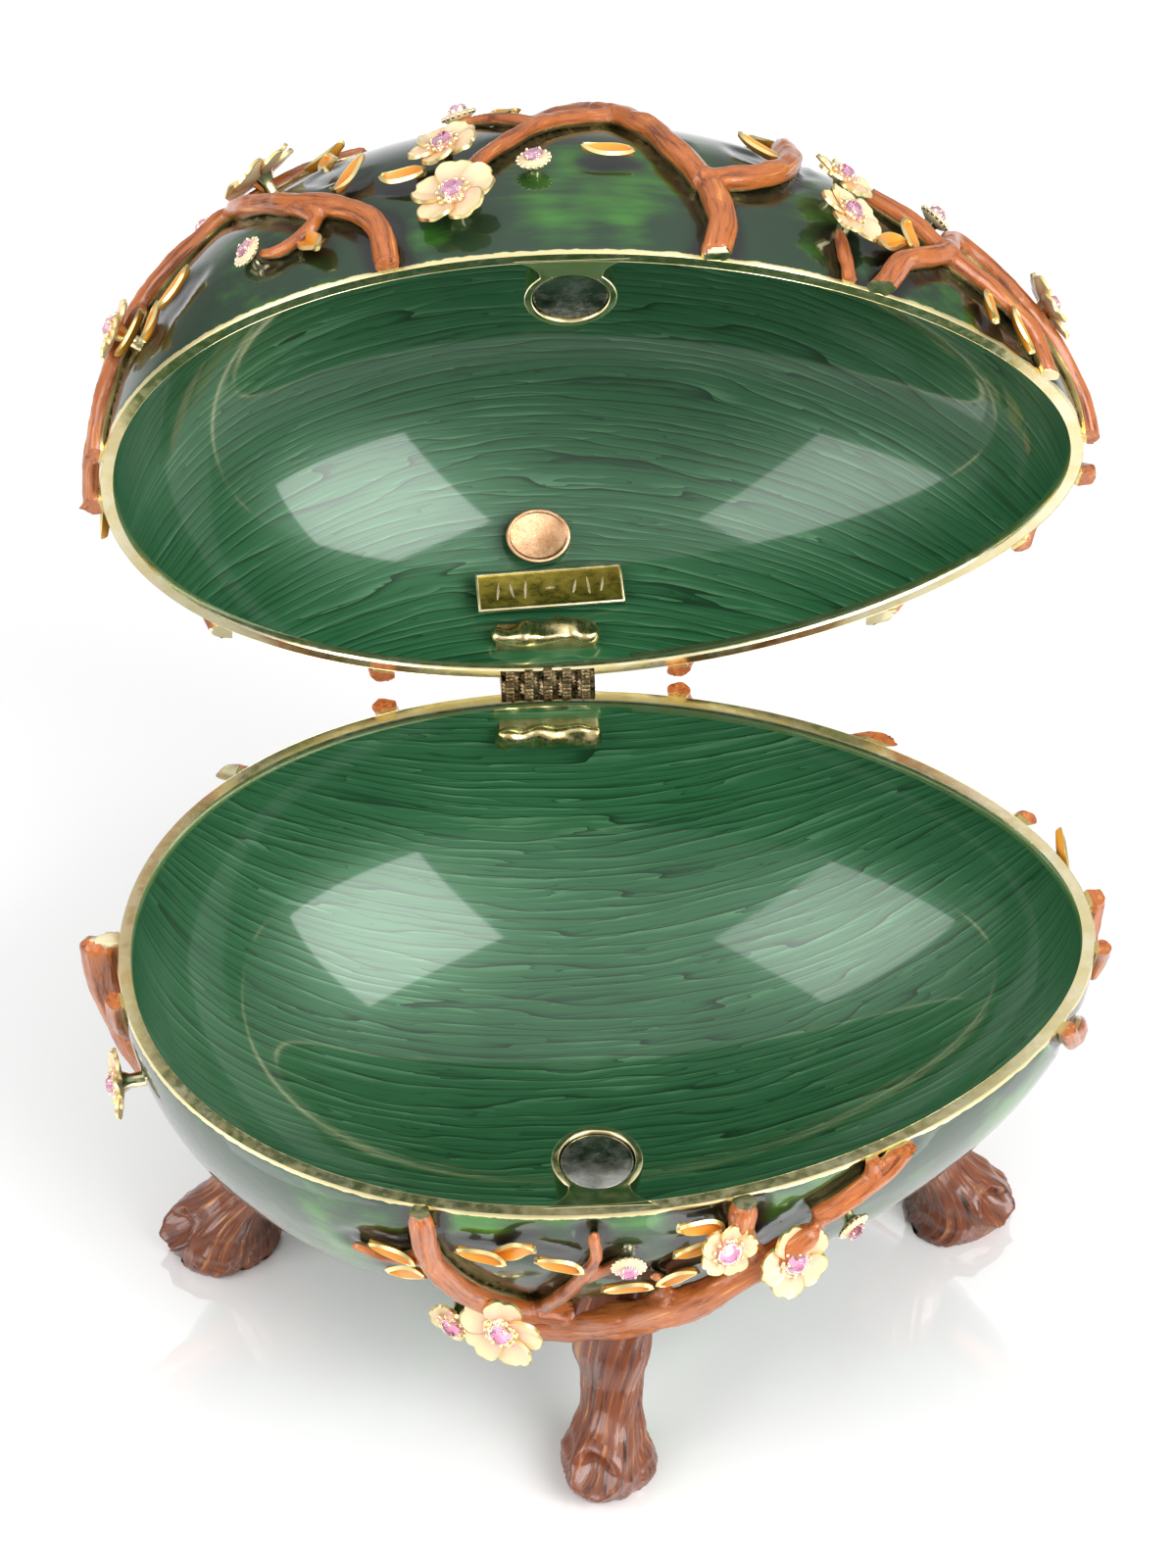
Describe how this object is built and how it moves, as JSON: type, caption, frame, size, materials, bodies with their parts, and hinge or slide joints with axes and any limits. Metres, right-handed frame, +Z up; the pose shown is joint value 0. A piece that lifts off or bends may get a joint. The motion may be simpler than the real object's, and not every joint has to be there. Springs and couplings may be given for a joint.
{
  "type": "jewelled egg trinket box",
  "caption": "Enamelled metal egg on tree-trunk legs, lying on its side and hinged at the back, with flowering branches in relief, pink stones and a magnet catch.",
  "frame": {"origin": "middle of the open box's footprint, on the surface that the feet stand on", "axes": "+X along the egg towards its pointed end, -Y to the opening side, +Z up"},
  "size_m": [0.1264, 0.1272, 0.1452],
  "materials": {
    "enamelled_shell": "translucent deep green enamel over cast metal outside, marbled pearl green enamel inside, polished pale gold rims, orange-brown enamelled branches",
    "bark_enamel": "glossy reddish-brown enamel with golden wood grain",
    "petal_enamel": "cream and peach enamel with gold edges",
    "pink_stone": "faceted pink crystal",
    "antique_gold": "antique gold plating, worn bright on the edges",
    "nickel": "dark nickel plating",
    "olive_brass": "olive tinted polished brass",
    "rose_copper": "stippled rose copper"
  },
  "bodies": {
    "base": {"base_shell": "enamelled_shell", "leg_front": "bark_enamel", "leg_left": "bark_enamel", "leg_right": "bark_enamel", "leg_back": "bark_enamel", "base_magnet": "nickel", "hinge_base_leaf": "antique_gold", "hinge_pin": "antique_gold", "blossom_front_left": "petal_enamel", "stone_front_left": "pink_stone", "blossom_front_side": "petal_enamel", "stone_front_side": "pink_stone", "blossom_front_right": "petal_enamel", "stone_front_right": "pink_stone", "blossom_rim_right": "petal_enamel", "stone_rim_right": "pink_stone", "blossom_trunk": "petal_enamel", "stone_trunk": "pink_stone", "blossom_back_low": "petal_enamel", "stone_back_low": "pink_stone", "bud_front": "pink_stone", "bud_front_right": "pink_stone"},
    "lid": {"lid_shell": "enamelled_shell", "lid_magnet": "nickel", "hinge_lid_leaf": "antique_gold", "number_plate": "olive_brass", "maker_medallion": "rose_copper", "blossom_lid_front": "petal_enamel", "stone_lid_front": "pink_stone", "blossom_lid_upper": "petal_enamel", "stone_lid_upper": "pink_stone", "blossom_lid_left": "petal_enamel", "stone_lid_left": "pink_stone", "blossom_lid_right_low": "petal_enamel", "stone_lid_right_low": "pink_stone", "blossom_lid_right_high": "petal_enamel", "stone_lid_right_high": "pink_stone", "blossom_lid_end": "petal_enamel", "stone_lid_end": "pink_stone", "blossom_lid_blunt": "petal_enamel", "stone_lid_blunt": "pink_stone", "blossom_back_left": "petal_enamel", "stone_back_left": "pink_stone", "blossom_back_right": "petal_enamel", "stone_back_right": "pink_stone", "blossom_back_end": "petal_enamel", "stone_back_end": "pink_stone", "bud_lid_front": "pink_stone", "bud_lid_left": "pink_stone", "bud_lid_crown": "pink_stone", "bud_lid_blunt": "pink_stone", "bud_lid_right": "pink_stone", "bud_lid_end": "pink_stone", "bud_back_left": "pink_stone", "bud_back_right": "pink_stone"}
  },
  "joints": [
    {"name": "lid_hinge", "type": "hinge", "parent": "base", "child": "lid", "pos_m": [-0.00366, 0.03081, 0.0505], "axis": [1, 0, 0], "range_deg": [0, 77]}
  ]
}
